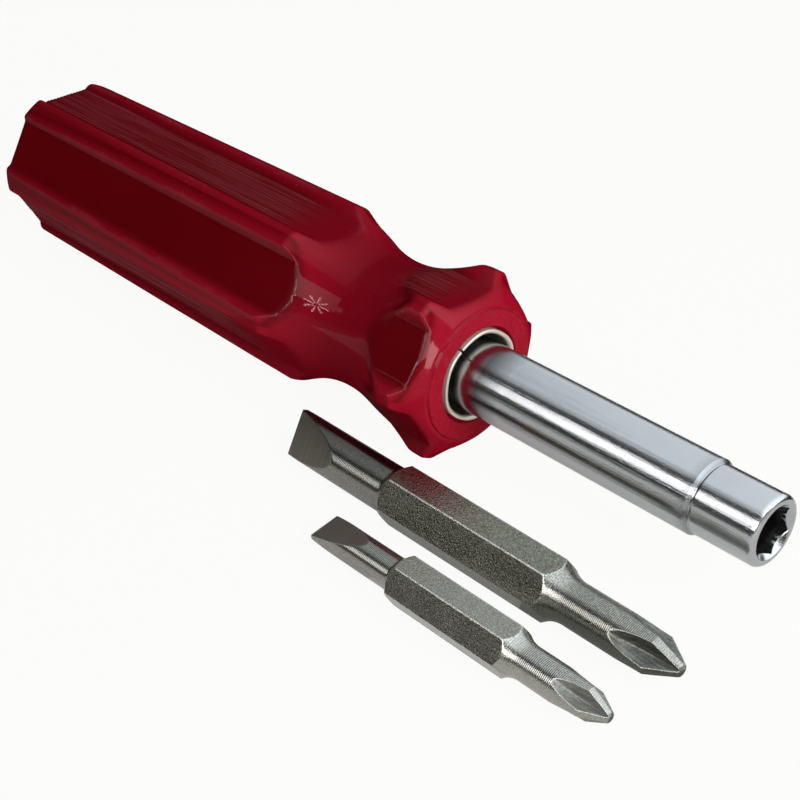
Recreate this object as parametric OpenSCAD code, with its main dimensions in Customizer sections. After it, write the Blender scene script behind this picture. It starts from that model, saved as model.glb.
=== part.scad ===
// Reversible screwdriver with a nut-driver shaft and two loose double-ended bits.
// The driver lies along X, shaft towards +X, and the bits lie in front of it on the bench at Z = 0.
// Turned pieces are drawn along their own Z axis, with zero at the nose face or at the end of a bit,
// and then laid down along X.

/* [Handle] */
// Length of the handle, from the butt to the nose face
handle_l = 105; // [100:1:120]
// Diameter over the lobes at the butt
butt_d = 28.4; // [27.4:0.2:30]
// Rounding of the butt edge
butt_round = 1.6; // [0.8:0.2:3]
// Diameter over the lobes at the nose flare
flare_d = 29.8; // [29:0.2:32]
// Diameter at the narrowest part of the neck
neck_d = 21.5; // [19:0.5:24]
// Radius of the hollow sweep of the neck
neck_sweep = 24; // [20:1:26]
// Distance from the nose face back to the narrowest part of the neck
neck_back = 19.8; // [18:0.2:23]
// Length of the bevel from the flare to the nose face
nose_bevel = 3.5; // [2:0.5:5]
// Diameter of the flat nose face
nose_face_d = 21.1; // [19:0.1:23]
// Height that the nose face stands proud of the bevel
nose_step = 0.25; // [0.1:0.05:0.6]

/* [Grip flats] */
// Distance of the smooth flats from the axis at the butt
smooth_butt = 12.75; // [12.2:0.05:13.2]
// Distance of the smooth flats from the axis at the nose
smooth_nose = 12.25; // [11.8:0.05:12.8]
// Distance of the ribbed flats' valleys from the axis at the butt
ribbed_butt = 12.3; // [11.9:0.05:12.8]
// Distance of the ribbed flats' valleys from the axis at the nose
ribbed_nose = 11.8; // [11.4:0.05:12.4]
// Width of the floor of a flat
flat_w = 8.6; // [7.6:0.2:9.4]
// Slope of the sides of a flat, in degrees
flank_slope = 35; // [25:1:50]
// Number of ribs on a ribbed flat
rib_count = 12; // [8:1:13]
// Distance between two ribs
rib_pitch = 0.68; // [0.6:0.02:0.72]
// Width of one rib
rib_w = 0.56; // [0.4:0.02:0.58]

/* [Ferrule] */
// Outside diameter of the ferrule
ferrule_d = 14.4; // [14:0.1:15.4]
// Thickness of the ferrule's sheet
ferrule_wall = 0.8; // [0.5:0.1:0.9]
// Length of the ferrule behind the nose face
ferrule_l = 8.5; // [7.5:0.1:9]
// Height of the ferrule's rim above the nose face
ferrule_proud = 0.2; // [0:0.1:0.6]
// Width of the ferrule's split
split_w = 0.35; // [0.2:0.05:0.8]
// Angle of the split round the axis, in degrees
split_turn = 124; // [100:1:150]
// Diameter of the relief round the ferrule's rim
relief_d = 15.2; // [14.8:0.1:16.4]
// Depth of that relief
relief_deep = 1; // [0.5:0.1:2]

/* [Shaft] */
// Length of the reversible shaft
shaft_l = 117; // [112:1:122]
// Length of the shaft in front of the nose face
shaft_reach = 51.5; // [49.5:0.5:53.5]
// Diameter of the shaft
shaft_d = 11; // [10.8:0.1:11.4]
// Diameter of the stepped-down tip
tip_d = 10.2; // [9.8:0.1:10.6]
// Length of the stepped-down tip
tip_l = 10; // [7:0.5:14]
// Chamfer at the step and at the hidden end
shaft_chamfer = 0.4; // [0.2:0.1:0.6]
// Rounding of the tip's rim
tip_round = 0.8; // [0.4:0.1:1]
// Depth of the hexagon in the tip
tip_socket = 14; // [10:1:18]
// Depth of the hexagon at the hidden end
inner_socket = 20; // [14:1:24]
// Depth of the countersink that opens a socket
mouth_deep = 0.7; // [0.4:0.1:1]
// Turn of the tip's hexagon round the axis, in degrees
tip_turn = 6; // [0:1:30]
// Diameter of the cross pin
pin_d = 3; // [2:0.1:3.2]
// Length of the cross pin
pin_l = 12.4; // [12:0.1:12.5]

/* [Retaining rings] */
// Thickness of the rings' wire
wire_d = 0.7; // [0.5:0.05:0.8]
// Depth of a ring behind the mouth of its socket
ring_deep = 4; // [3:0.5:6]
// How far a ring sits outside the corners of its hexagon
ring_seat = 0.3; // [0.15:0.05:0.35]
// Open part of a ring, in degrees
ring_gap = 50; // [30:5:90]

/* [Large bit] */
// Width across flats of the large bit's hexagon
large_af = 7.94; // [7.8:0.01:8.1]
// Length of the large bit's hexagon
large_hex = 29.4; // [28:0.1:34]
// Length of its slotted end
large_blade = 21.2; // [17:0.1:22]
// Diameter of the slotted end, and width of the blade
large_blade_d = 7.2; // [6.4:0.1:7.3]
// Thickness of the blade at its edge
large_edge = 1.2; // [0.8:0.1:1.6]
// Length of the blade's ground faces
large_grind = 11; // [7:0.5:13]
// Length of its cross-headed end
large_cross = 21; // [18:0.1:22]
// Diameter of the cross-headed end
large_cross_d = 6.2; // [5.6:0.1:6.6]
// Distance of the blade's edge behind the nose face
large_back = 18; // [10:0.1:24]
// Distance of the large bit's axis in front of the driver's axis
large_off = 19.6; // [19.4:0.1:24]

/* [Small bit] */
// Width across flats of the small bit's hexagon
small_af = 6.35; // [6.2:0.01:6.45]
// Length of the small bit's hexagon
small_hex = 19.8; // [18:0.1:24]
// Length of its slotted end
small_blade = 15.2; // [12:0.1:17]
// Diameter of the slotted end, and width of the blade
small_blade_d = 4.9; // [4.4:0.1:5.2]
// Thickness of the blade at its edge
small_edge = 0.8; // [0.6:0.1:1.2]
// Length of the blade's ground faces
small_grind = 9; // [5:0.5:10]
// Length of its cross-headed end
small_cross = 16; // [13:0.1:17]
// Diameter of the cross-headed end
small_cross_d = 4.95; // [4.4:0.05:5.2]
// Distance of the blade's edge in front of the nose face
small_ahead = 1.3; // [0:0.1:10]
// Distance of the small bit's axis in front of the large bit's axis
small_off = 11.8; // [9:0.1:16]

/* [Hidden] */
$fn = 96;

// Clearances and the overrun of cuts
ferrule_fit = 0.02;
shaft_fit = 0.06;
grip_fit = 0.04;
pin_fit = 0.02;
pin_room = 0.3;
ring_room = 0.05;
socket_room = 0.1;
shank_room = 1;
end_room = 1.5;
overrun = 1;

// Shape of the bits, as shares of their own sizes and in degrees
collar_share = 0.97;
bell_share = 0.92;
bell_steps = 5;
point_share = 0.34;
cone_share = 0.2;
flute_share = 0.48;
core_share = 0.24;
flute_half = 46;
flute_count = 4;
large_blade_turn = 63;
large_cross_turn = 148;
small_blade_turn = 9;
small_cross_turn = 132;
round_steps = 5;

// Derived sizes of the handle
lobes = 6;
lobe_step = 360 / lobes;
butt_r = butt_d / 2;
flare_r = flare_d / 2;
neck_r = neck_d / 2;
nose_face_r = nose_face_d / 2;
flat_half = flat_w / 2;
flank = tan(flank_slope);
flat_reach = flare_r + overrun;

// Derived sizes of the ferrule and the shaft, whose cross pin sits in the slots of the ferrule's lip
ferrule_r = ferrule_d / 2;
shaft_r = shaft_d / 2;
tip_r = tip_d / 2;
shaft_back = shaft_l - shaft_reach;
pin_back = ferrule_l - pin_d / 2;
tip_af = small_af + socket_room;
inner_af = large_af + socket_room;
tip_bore_d = max(small_blade_d, small_cross_d) + shank_room;
inner_bore_d = max(large_blade_d, large_cross_d) + shank_room;
tip_bore = tip_socket + max(small_blade, small_cross) + end_room;
inner_bore = inner_socket + max(large_blade, large_cross) + end_room;
tip_ring_r = corner(tip_af) + ring_seat;
inner_ring_r = corner(inner_af) + ring_seat;

// The store behind the shaft takes the free end of the large bit
large_l = large_blade + large_hex + large_cross;
small_l = small_blade + small_hex + small_cross;
store_l = large_l - inner_socket - min(large_blade, large_cross) + end_room;
store_r = corner(large_af) + socket_room;

// Place of the driver: it rests on its lobes, and the whole set is centred on the origin
axis_h = max(rest_height(0, butt_r), rest_height(handle_l - nose_bevel, flare_r));
set_front = max(shaft_reach, large_l - large_back, small_l + small_ahead);
nose_x = (handle_l - set_front) / 2;
front_off = large_off + small_off;
driver_y = (front_off + corner(small_af) - flare_r) / 2;

// Corner radius of a hexagon from its width across flats
function corner(af) = af / (2 * cos(30));

// Distance of a smooth flat's floor from the axis, at a distance from the butt
function smooth_floor(from_butt) = smooth_butt + (smooth_nose - smooth_butt) * from_butt / handle_l;

// Height of the axis above the lobes' lower edges, where the sides of the lowest flat meet the lobe radius
function rest_height(from_butt, lobe_r) =
    let (d = smooth_floor(from_butt))
    let (a = 1 + flank * flank, b = flat_half + d * flank, c = flat_half * flat_half + d * d - lobe_r * lobe_r)
    d + flank * (sqrt(b * b - a * c) - b) / a;

// Points of a rounded corner, from one turn to the other about its centre
function arc_points(x, y, r, from, to, steps) =
    [for (i = [0:steps]) let (t = from + (to - from) * i / steps) [x + r * cos(t), y + r * sin(t)]];

// Lays a piece that is drawn along Z down along X, on the driver's axis
module on_driver() {
    translate([nose_x, driver_y, axis_h]) rotate([90, 0, 90]) children();
}

// Half outline of the handle as turned, before the flats are cut
module handle_outline() {
    difference() {
        polygon(concat(
            [[0, 0], [0, -handle_l]],
            arc_points(butt_r - butt_round, butt_round - handle_l, butt_round, -90, 0, round_steps),
            [[flare_r, -nose_bevel], [nose_face_r, -nose_step], [nose_face_r, 0]]));
        translate([neck_r + neck_sweep, -neck_back]) circle(r = neck_sweep);
    }
}

// Outline of what is cut away over one flat, with its ribs left standing
module flat_outline(ribs) {
    difference() {
        polygon([
            [0, -flat_half], [flat_reach, -flat_half - flat_reach / flank],
            [flat_reach, flat_half + flat_reach / flank], [0, flat_half]]);
        for (i = [0:1:ribs - 1])
            translate([0, (i - (ribs - 1) / 2) * rib_pitch]) circle(d = rib_w);
    }
}

// One flat, which leans in by the draft from the butt to the nose
module flat_cut(at_butt, at_nose, ribs) {
    draft = atan((at_butt - at_nose) / handle_l);
    translate([at_butt, 0, -handle_l])
        rotate([0, -draft, 0])
            translate([0, 0, -overrun])
                linear_extrude(handle_l + 2 * overrun) flat_outline(ribs);
}

// Bores for the ferrule, the cross pin, the shaft and the stored end of the large bit
module handle_bores() {
    store_back = shaft_back + store_l;
    translate([0, 0, -relief_deep]) cylinder(d = relief_d, h = relief_deep + overrun);
    translate([0, 0, -ferrule_l]) cylinder(r = ferrule_r + ferrule_fit, h = ferrule_l + overrun);
    translate([0, 0, -shaft_back]) cylinder(r = shaft_r + shaft_fit, h = shaft_back + overrun);
    translate([0, 0, -store_back]) cylinder(r = store_r, h = store_back);
    pin_slot(pin_back + pin_d / 2 + pin_room, ferrule_l);
}

// Slot that the ends of the cross pin slide along, from one depth out to another
module pin_slot(deep, shallow) {
    width = pin_d + 2 * pin_room;
    reach = pin_l + 2 * pin_room;
    translate([-reach / 2, -width / 2, -deep]) cube([reach, width, deep - shallow + pin_room]);
}

module handle() {
    color("firebrick") on_driver() difference() {
        rotate_extrude() handle_outline();
        for (i = [0:2:lobes - 1]) {
            rotate([0, 0, (i + 0.5) * lobe_step]) flat_cut(smooth_butt, smooth_nose, 0);
            rotate([0, 0, (i + 1.5) * lobe_step]) flat_cut(ribbed_butt, ribbed_nose, rib_count);
        }
        handle_bores();
    }
}

module ferrule() {
    inner_r = ferrule_r - ferrule_wall;
    lip_r = shaft_r + grip_fit;
    color("ivory") on_driver() difference() {
        rotate_extrude() polygon([
            [lip_r, -ferrule_l], [ferrule_r, -ferrule_l], [ferrule_r, ferrule_proud], [inner_r, ferrule_proud],
            [inner_r, ferrule_wall - ferrule_l], [lip_r, ferrule_wall - ferrule_l]]);
        rotate([0, 0, split_turn])
            translate([0, -split_w / 2, -ferrule_l - overrun])
                cube([ferrule_r + overrun, split_w, ferrule_l + ferrule_proud + 2 * overrun]);
        pin_slot(ferrule_l + pin_room, ferrule_l - ferrule_wall);
    }
}

// Hexagon socket with a countersunk mouth, a round bore beyond it and a groove for its ring, drawn upwards
// to its mouth at zero
module socket_cut(af, deep, bore_d, bore_deep, ring_r) {
    translate([0, 0, -deep]) cylinder(r = corner(af), h = deep + overrun, $fn = 6);
    translate([0, 0, -bore_deep]) cylinder(d = bore_d, h = bore_deep);
    translate([0, 0, -mouth_deep]) cylinder(r1 = af / 2, r2 = af / 2 + mouth_deep, h = mouth_deep);
    translate([0, 0, -ring_deep - wire_d / 2 - ring_room])
        cylinder(r = ring_r + ring_room, h = wire_d + 2 * ring_room);
}

module shaft() {
    step = shaft_reach - tip_l;
    color("gainsboro") on_driver() difference() {
        rotate_extrude() polygon(concat(
            [[0, -shaft_back], [shaft_r - shaft_chamfer, -shaft_back], [shaft_r, shaft_chamfer - shaft_back]],
            [[shaft_r, step - (shaft_r - tip_r)], [tip_r, step]],
            arc_points(tip_r - tip_round, shaft_reach - tip_round, tip_round, 0, 90, round_steps),
            [[0, shaft_reach]]));
        translate([0, 0, shaft_reach]) rotate([0, 0, lobe_step / 2 + tip_turn])
            socket_cut(tip_af, tip_socket, tip_bore_d, tip_bore, tip_ring_r);
        translate([0, 0, -shaft_back]) mirror([0, 0, 1])
            socket_cut(inner_af, inner_socket, inner_bore_d, inner_bore, inner_ring_r);
        translate([-shaft_r - overrun, 0, -pin_back]) rotate([0, 90, 0])
            cylinder(d = pin_d + 2 * pin_fit, h = shaft_d + 2 * overrun);
    }
}

module drive_pin() {
    color("dimgray") on_driver()
        translate([-pin_l / 2, 0, -pin_back]) rotate([0, 90, 0]) cylinder(d = pin_d, h = pin_l);
}

// Open wire ring of a given outside radius
module wire_ring(outer_r) {
    rotate_extrude(angle = 360 - ring_gap)
        translate([outer_r - wire_d / 2, 0]) circle(d = wire_d);
}

module tip_retainer() {
    color("slategray") on_driver() translate([0, 0, shaft_reach - ring_deep]) wire_ring(tip_ring_r);
}

module inner_retainer() {
    color("slategray") on_driver() translate([0, 0, ring_deep - shaft_back]) wire_ring(inner_ring_r);
}

// Half outline of a bit as turned, from the blade's edge at zero to the point
module bit_outline(af, blade, blade_d, hex, cross, cross_d) {
    hex_r = corner(af);
    collar_r = collar_share * af / 2;
    cross_r = cross_d / 2;
    hex_end = blade + hex;
    bell = bell_share * af / 2;
    drop = hex_r - cross_r;
    bell_r = (bell * bell + drop * drop) / (2 * drop);
    sweep = asin(bell / bell_r);
    tip = hex_end + cross;
    point_r = point_share * cross_r;
    point = point_r / 2;
    cone = cone_share * cross;
    polygon(concat(
        [[0, 0], [blade_d / 2, 0], [blade_d / 2, blade], [collar_r, blade], [hex_r, blade + hex_r - collar_r]],
        arc_points(cross_r + bell_r, hex_end + bell, bell_r, 180 + sweep, 180, bell_steps),
        [[cross_r, tip - cone], [point_r, tip - point], [0, tip]]));
}

// One ground face of the blade, drawn on the side of +X
module grind_cut(blade_d, edge, grind) {
    lean = atan((blade_d - edge) / (2 * grind));
    translate([edge / 2, -blade_d, 0]) rotate([0, lean, 0])
        translate([0, 0, -overrun]) cube([blade_d, 2 * blade_d, grind + blade_d]);
}

// One flute of the cross head, drawn on the side of +X, from its start up past the point
module flute_cut(cross, cross_d) {
    flute = flute_share * cross;
    lean = atan((1 - core_share) * cross_d / (2 * flute));
    wing = cross_d * tan(flute_half);
    translate([cross_d / 2, 0, cross - flute]) rotate([0, -lean, 0]) translate([0, 0, -overrun])
        linear_extrude(flute + cross_d + overrun) polygon([[0, 0], [cross_d, -wing], [cross_d, wing]]);
}

// Double-ended bit along Z, with its hexagon lying on a flat once it is laid down
module double_bit(af, blade, blade_d, edge, grind, hex, cross, cross_d, blade_turn, cross_turn) {
    bit_l = blade + hex + cross;
    difference() {
        intersection() {
            rotate_extrude() bit_outline(af, blade, blade_d, hex, cross, cross_d);
            translate([0, 0, -overrun]) cylinder(r = corner(af), h = bit_l + 2 * overrun, $fn = 6);
        }
        for (side = [0, 180])
            rotate([0, 0, blade_turn + 90 + side]) grind_cut(blade_d, edge, grind);
        for (i = [0:flute_count - 1])
            translate([0, 0, blade + hex]) rotate([0, 0, cross_turn + i * 360 / flute_count])
                flute_cut(cross, cross_d);
    }
}

module large_bit() {
    color("darkgray") translate([nose_x - large_back, driver_y - large_off, large_af / 2]) rotate([90, 0, 90])
        double_bit(large_af, large_blade, large_blade_d, large_edge, large_grind, large_hex,
            large_cross, large_cross_d, large_blade_turn, large_cross_turn);
}

module small_bit() {
    color("darkgray") translate([nose_x + small_ahead, driver_y - front_off, small_af / 2]) rotate([90, 0, 90])
        double_bit(small_af, small_blade, small_blade_d, small_edge, small_grind, small_hex,
            small_cross, small_cross_d, small_blade_turn, small_cross_turn);
}

handle();
ferrule();
shaft();
drive_pin();
tip_retainer();
inner_retainer();
large_bit();
small_bit();
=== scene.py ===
"""Looks of a reversible screwdriver and its two loose double-ended bits, built on the packed frame."""

import math

import bpy
import numpy as np
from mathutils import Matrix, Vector


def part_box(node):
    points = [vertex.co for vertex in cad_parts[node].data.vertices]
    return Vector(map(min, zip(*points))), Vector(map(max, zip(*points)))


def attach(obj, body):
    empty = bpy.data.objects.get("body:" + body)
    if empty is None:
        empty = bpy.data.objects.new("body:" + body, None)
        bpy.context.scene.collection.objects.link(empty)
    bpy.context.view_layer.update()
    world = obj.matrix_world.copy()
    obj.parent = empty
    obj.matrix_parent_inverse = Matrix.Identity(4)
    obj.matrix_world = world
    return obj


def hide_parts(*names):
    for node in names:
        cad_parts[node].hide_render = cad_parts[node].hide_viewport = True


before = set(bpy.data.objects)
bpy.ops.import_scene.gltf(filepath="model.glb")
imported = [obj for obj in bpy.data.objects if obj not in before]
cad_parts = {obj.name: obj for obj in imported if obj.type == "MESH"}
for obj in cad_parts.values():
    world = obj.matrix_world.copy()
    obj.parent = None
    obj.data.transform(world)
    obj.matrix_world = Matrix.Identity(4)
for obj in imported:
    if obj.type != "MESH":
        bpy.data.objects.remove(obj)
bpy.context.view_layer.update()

bl_info = {
    "name": "Reversible screwdriver",
    "version": (1, 0, 0),
    "blender": (4, 5, 0),
    "location": "View3D > Sidebar > Screwdriver",
    "description": "Builds a fluted screwdriver with a reversible shaft and two double-ended bits",
    "category": "Add Mesh",
}

MM = 0.001
LOBE_STEP = math.radians(60)
HEX_HALF = math.radians(30)
QUARTER = math.radians(90)
CARD_RADIUS = 1.2

HANDLE_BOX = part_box("handle")
SHAFT_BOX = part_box("shaft")
LARGE_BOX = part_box("large_bit")
SMALL_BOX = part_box("small_bit")

NOSE_X = HANDLE_BOX[1].x
SHAFT_REACH = SHAFT_BOX[1].x - NOSE_X
AXIS_Y = (SHAFT_BOX[0].y + SHAFT_BOX[1].y) / 2
AXIS_Z = (SHAFT_BOX[0].z + SHAFT_BOX[1].z) / 2


# Settings

def length(name, description, millimetres):
    """A length that the user may change, given in millimetres."""
    return bpy.props.FloatProperty(
        name=name, description=description, default=millimetres * MM, precision=5,
        subtype="DISTANCE", unit="LENGTH")


def angle(name, description, degrees):
    """An angle that the user may change, given in degrees."""
    return bpy.props.FloatProperty(
        name=name, description=description, default=math.radians(degrees), subtype="ANGLE", unit="ROTATION")


def share(name, description, default):
    """A share between nought and one."""
    return bpy.props.FloatProperty(
        name=name, description=description, default=default, min=0, max=1, subtype="FACTOR")


def count(name, description, default):
    """A whole number of pieces."""
    return bpy.props.IntProperty(
        name=name, description=description, default=default, min=1, subtype="UNSIGNED")


def colour(name, description, default):
    """A colour in linear light."""
    return bpy.props.FloatVectorProperty(
        name=name, description=description, default=default, size=3, min=0, max=1, subtype="COLOR")


def box_length(box):
    """Length of a node along X, in millimetres."""
    return (box[1].x - box[0].x) / MM


class HandleSizes(bpy.types.PropertyGroup):
    """Sizes of the moulded handle."""

    length: length("Length", "From the butt to the nose face", box_length(HANDLE_BOX))
    butt_radius: length("Butt radius", "Radius over the lobes at the butt", 14.2)
    butt_round: length("Butt rounding", "Rounding of the butt edge", 1.9)
    flare_radius: length("Flare radius", "Radius over the lobes at the nose flare", 14.9)
    neck_radius: length("Neck radius", "Radius at the narrowest part of the neck", 10.75)
    neck_sweep: length("Neck sweep", "Radius of the hollow of the neck", 24)
    neck_back: length("Neck setback", "From the nose face back to the narrowest part of the neck", 19.8)
    bevel: length("Nose bevel", "Length of the bevel at the nose", 3.5)
    face_radius: length("Face radius", "Radius of the flat nose face", 10.55)
    face_step: length("Face step", "Height of the nose face above the bevel", 0.25)
    smooth_butt: length("Smooth flat at butt", "Distance of the smooth flats from the axis", 12.75)
    smooth_nose: length("Smooth flat at nose", "Distance of the smooth flats from the axis", 12.25)
    ribbed_butt: length("Ribbed flat at butt", "Distance of the ribbed flats' valleys from the axis", 12.3)
    ribbed_nose: length("Ribbed flat at nose", "Distance of the ribbed flats' valleys from the axis", 11.8)
    flat_width: length("Flat width", "Width of the floor of a flat", 8.6)
    flank_slope: angle("Flank slope", "Slope of the sides of a flat", 35)
    rib_count: count("Ribs", "Ribs on a ribbed flat", 12)
    rib_pitch: length("Rib pitch", "Distance between two ribs", 0.68)
    rib_width: length("Rib width", "Width of one rib", 0.56)
    rib_height: length("Rib height", "Height of one rib", 0.24)
    crest_round: length("Crest rounding", "Softness of the lobes' crests", 0.32)
    flare_round: length("Flare rounding", "Softness of the crests on the flare", 0.9)
    rib_fade: length("Rib fade", "Length over which the ribs run out before the neck", 10)
    root_round: length("Root rounding", "Softness of the corners inside a flat", 0.5)
    bore_play: length("Bore play", "Room between the shaft and its bore", 0.06)
    store_deep: length("Store depth", "Depth of the narrow bore behind the shaft", 32.1)
    store_radius: length("Store radius", "Radius of that narrow bore", 4.684)


class FerruleSizes(bpy.types.PropertyGroup):
    """Sizes of the rolled ferrule and of its place in the nose."""

    radius: length("Radius", "Outside radius of the ferrule", 7.2)
    wall: length("Wall", "Thickness of the sheet", 0.8)
    length: length("Length", "Length behind the nose face", 8.5)
    proud: length("Proud", "Height of the rim above the nose face", 0.2)
    lip_radius: length("Lip radius", "Inside radius of the inner lip", 5.54)
    rim_round: length("Rim rounding", "Rounding of the rolled rim", 0.2)
    mouth_deep: length("Mouth", "How far the flare of the mouth reaches into the bore", 0.9)
    dent: length("Rolling marks", "How far the rim is flattened where the rolls pressed it", 0.14)
    relief_radius: length("Relief radius", "Radius of the relief round the rim", 7.6)
    relief_deep: length("Relief depth", "Depth of that relief", 1)
    split_width: length("Split", "Width of the split", 0.35)
    split_turn: angle("Split turn", "Place of the split round the axis", 124)
    notch_half: angle("Notch", "Half of the opening in the lip for the cross pin", 17.8)


class ShaftSizes(bpy.types.PropertyGroup):
    """Sizes of the reversible shaft."""

    length: length("Length", "Whole length of the shaft", box_length(SHAFT_BOX))
    radius: length("Radius", "Radius of the shaft", 5.5)
    tip_radius: length("Tip radius", "Radius of the stepped-down tip", 5.1)
    tip_length: length("Tip length", "Length of the stepped-down tip", 10)
    tip_round: length("Rim rounding", "Rounding of the tip's rim", 0.8)
    chamfer: length("Chamfer", "Chamfer at the hidden end", 0.4)
    mouth: length("Mouth", "Depth of the countersink of a socket", 0.7)
    tip_flat: length("Tip socket", "Half the width across flats of the tip's hexagon", 3.225)
    tip_socket: length("Tip socket depth", "Depth of the tip's hexagon", 14)
    tip_bore: length("Tip bore", "Radius of the bore beyond the tip's hexagon", 2.975)
    tip_bore_deep: length("Tip bore depth", "Depth of that bore", 31.5)
    tip_turn: angle("Tip turn", "Turn of the tip's hexagon round the axis", 6)
    inner_flat: length("Inner socket", "Half the width across flats of the inner hexagon", 4.02)
    inner_socket: length("Inner socket depth", "Depth of the inner hexagon", 20)
    inner_bore: length("Inner bore", "Radius of the bore beyond the inner hexagon", 4.1)
    inner_bore_deep: length("Inner bore depth", "Depth of that bore", 42.7)
    groove_deep: length("Groove place", "Depth of the ring grooves behind their mouths", 4)
    groove_half: length("Groove half width", "Half the width of a ring groove", 0.4)
    tip_groove: length("Tip groove", "Radius of the ring groove in the tip", 4.07)
    inner_groove: length("Inner groove", "Radius of the ring groove at the hidden end", 4.99)


def bit_fields(half_flat, blade, blade_r, edge, grind, blade_turn, hexagon,
               cross, cross_r, flute, cone, cross_turn, bright):
    """The sizes of one double-ended bit, in millimetres and degrees."""
    return {
        "half_flat": length("Half width", "Half the width across flats of the hexagon", half_flat),
        "blade": length("Blade end", "Length of the slotted end", blade),
        "blade_radius": length("Blade radius", "Radius of the slotted end", blade_r),
        "edge": length("Blade edge", "Thickness of the blade at its edge", edge),
        "grind": length("Grind", "Length of the ground faces", grind),
        "blade_turn": angle("Blade turn", "Turn of the blade round the axis", blade_turn),
        "hexagon": length("Hexagon", "Length of the hexagon", hexagon),
        "cross": length("Cross end", "Length of the cross-headed end", cross),
        "cross_radius": length("Cross radius", "Radius of the cross-headed end", cross_r),
        "flute": length("Flutes", "Length of the flutes", flute),
        "cone": length("Cone", "Length of the cone at the point", cone),
        "cross_turn": angle("Cross turn", "Turn of the flutes round the axis", cross_turn),
        "collar_share": share("Collar", "Collar radius over the half width", 0.97),
        "bell_share": share("Bell", "Length of the bell behind the hexagon over the half width", 0.92),
        "point_share": share("Point", "Radius of the blunt point over the cross radius", 0.34),
        "core_share": share("Core", "What the flutes leave of the cross radius", 0.24),
        "flute_half": angle("Flute slope", "Half of the angle between the walls of a flute", 46),
        "edge_round": length("Edge rounding", "Softness of the edges", 0.07),
        "bright": share("Brightness", "How bright the steel was left", bright),
    }


class LargeBitSizes(bpy.types.PropertyGroup):
    """Sizes of the large bit."""

    __annotations__ = bit_fields(3.97, 21.2, 3.6, 1.2, 11, 63, 29.4, 21, 3.1, 9.9, 4.1, 148, 0)


class SmallBitSizes(bpy.types.PropertyGroup):
    """Sizes of the small bit."""

    __annotations__ = bit_fields(3.175, 15.2, 2.45, 0.8, 9, 9, 19.8, 16, 2.475, 8, 3.4, 132, 0.14)


class Finishes(bpy.types.PropertyGroup):
    """Colours of the finishes."""

    red: colour("Handle red", "Colour of the lobes, the neck and the nose", (0.325, 0.0045, 0.0180))
    # Painted shade: this deep red stands for the shade on the floors of the flats and on the neck.
    painted_shade_red: colour("Deep red", "Colour on the floors of the flats", (0.120, 0.0008, 0.0030))
    # This pale colour is scuffing, and on the ribs, the nose face and the crests also a painted sheen and
    # highlight.
    scuff_and_sheen: colour("Scuffs", "Pale rubbed marks on the plastic", (0.420, 0.090, 0.110))
    chrome: colour("Chrome", "Plating of the shaft", (0.530, 0.542, 0.558))
    # The same dark steel is laid on the step of the tip as painted shade.
    socket: colour("Bare socket", "Unplated steel inside the sockets", (0.075, 0.068, 0.060))
    nickel: colour("Nickel", "Plating of the ferrule", (0.800, 0.745, 0.640))
    spring: colour("Spring steel", "Cross pin and retaining rings", (0.430, 0.430, 0.420))
    steel: colour("Bit steel", "Ground and turned steel of the bits", (0.345, 0.343, 0.308))
    # The worn colour is also a painted highlight on the edges.
    worn: colour("Worn edges", "Bright edges of the bits", (0.860, 0.850, 0.800))
    # This ground colour is darkened in part as painted shade.
    ground: colour("Ground steel", "Dull ground faces of the blades", (0.186, 0.178, 0.138))
    rolled: colour("Rolled steel", "Darker skin on the hexagon", (0.158, 0.153, 0.109))


class StageLook(bpy.types.PropertyGroup):
    """Floor, light and camera."""

    floor: colour("Floor", "Colour of the floor", (1.0, 1.0, 0.985))
    key_power: bpy.props.FloatProperty(
        name="Key light", description="Power of the soft key light", default=5.95, min=0,
        subtype="POWER", unit="POWER")
    fill: share("Fill", "Light of the studio above the pale horizon", 0.20)
    focal: bpy.props.FloatProperty(
        name="Focal length", description="Focal length of the lens in millimetres", default=72.9, min=1)


SETTINGS = {
    "driver_handle": HandleSizes,
    "driver_ferrule": FerruleSizes,
    "driver_shaft": ShaftSizes,
    "driver_large_bit": LargeBitSizes,
    "driver_small_bit": SmallBitSizes,
    "driver_finishes": Finishes,
    "driver_stage": StageLook,
}


# Node expressions

class Expr:
    """A socket that takes part in Python expressions: each operator adds a Math node."""

    def __init__(self, graph, socket):
        self.graph = graph
        self.socket = socket

    def __add__(self, other):
        return self.graph.math("ADD", self, other)

    def __radd__(self, other):
        return self.graph.math("ADD", other, self)

    def __sub__(self, other):
        return self.graph.math("SUBTRACT", self, other)

    def __rsub__(self, other):
        return self.graph.math("SUBTRACT", other, self)

    def __mul__(self, other):
        return self.graph.math("MULTIPLY", self, other)

    def __rmul__(self, other):
        return self.graph.math("MULTIPLY", other, self)

    def __truediv__(self, other):
        return self.graph.math("DIVIDE", self, other)

    def __lt__(self, other):
        return self.graph.math("LESS_THAN", self, other)

    def __gt__(self, other):
        return self.graph.math("GREATER_THAN", self, other)

    def __abs__(self):
        return self.graph.math("ABSOLUTE", self)

    def clamp(self):
        """The value held between nought and one."""
        return self.graph.math("MAXIMUM", self.graph.math("MINIMUM", self, 1.0), 0.0)


# Places of the colour sockets on a Mix node: factor, first and second colour, and the result.
COLOUR_MIX_INPUTS = (0, 6, 7)
COLOUR_MIX_OUTPUT = 2


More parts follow.
